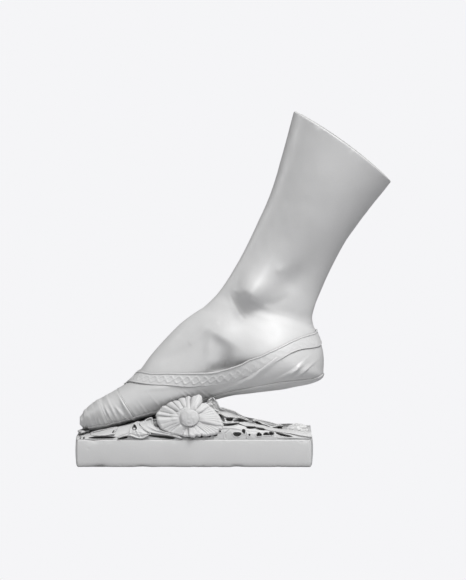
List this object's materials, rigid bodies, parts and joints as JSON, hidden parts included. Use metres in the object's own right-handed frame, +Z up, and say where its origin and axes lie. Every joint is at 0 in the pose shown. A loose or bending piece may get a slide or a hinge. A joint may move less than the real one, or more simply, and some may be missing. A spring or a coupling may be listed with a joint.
{
  "type": "sculpture of a slippered foot",
  "caption": "Carved pale stone foot and lower leg in a soft slipper, heel raised, on a low rectangular plinth strewn with daisies and leaves.",
  "frame": {"origin": "centre of the plinth's flat underside", "axes": "+Z up, +X from the toes towards the heel along the plinth, -Y out of the inner side of the foot"},
  "size_m": [0.3029, 0.1101, 0.3378],
  "materials": {
    "skin_stone": "fine-ground pale grey stone",
    "slipper_stone": "fine-ground pale grey stone",
    "flower_stone": "carved pale grey stone",
    "plinth_stone": "honed pale grey stone with rubbed arrises",
    "steel": "plain turned steel"
  },
  "bodies": {
    "root": {"anchor_nut": "steel", "anchor_rod": "steel", "anchor_washer": "steel", "daisy_back_disc": "flower_stone", "daisy_back_petals": "flower_stone", "daisy_front_disc": "flower_stone", "daisy_front_petals": "flower_stone", "daisy_heel_disc": "flower_stone", "daisy_heel_petals": "flower_stone", "ground_bed": "plinth_stone", "leaf_back_crest": "flower_stone", "leaf_back_lobed": "flower_stone", "leaf_back_long": "flower_stone", "leaf_back_toe": "flower_stone", "leaf_ball_upright": "flower_stone", "leaf_crest": "flower_stone", "leaf_front_blade": "flower_stone", "leaf_front_end": "flower_stone", "leaf_front_lobed": "flower_stone", "leaf_front_long": "flower_stone", "leaf_front_scalloped": "flower_stone", "leaf_toe_end": "flower_stone", "leaf_toe_flat": "flower_stone", "leg_and_foot": "skin_stone", "plinth": "plinth_stone", "slipper_sole": "slipper_stone", "slipper_toe_cap": "slipper_stone", "slipper_upper": "slipper_stone", "toe_dowel": "steel", "toe_seam_cord": "slipper_stone", "trim_band": "slipper_stone", "trim_foot_cord": "slipper_stone", "trim_top_cord": "slipper_stone"}
  },
  "joints": []
}
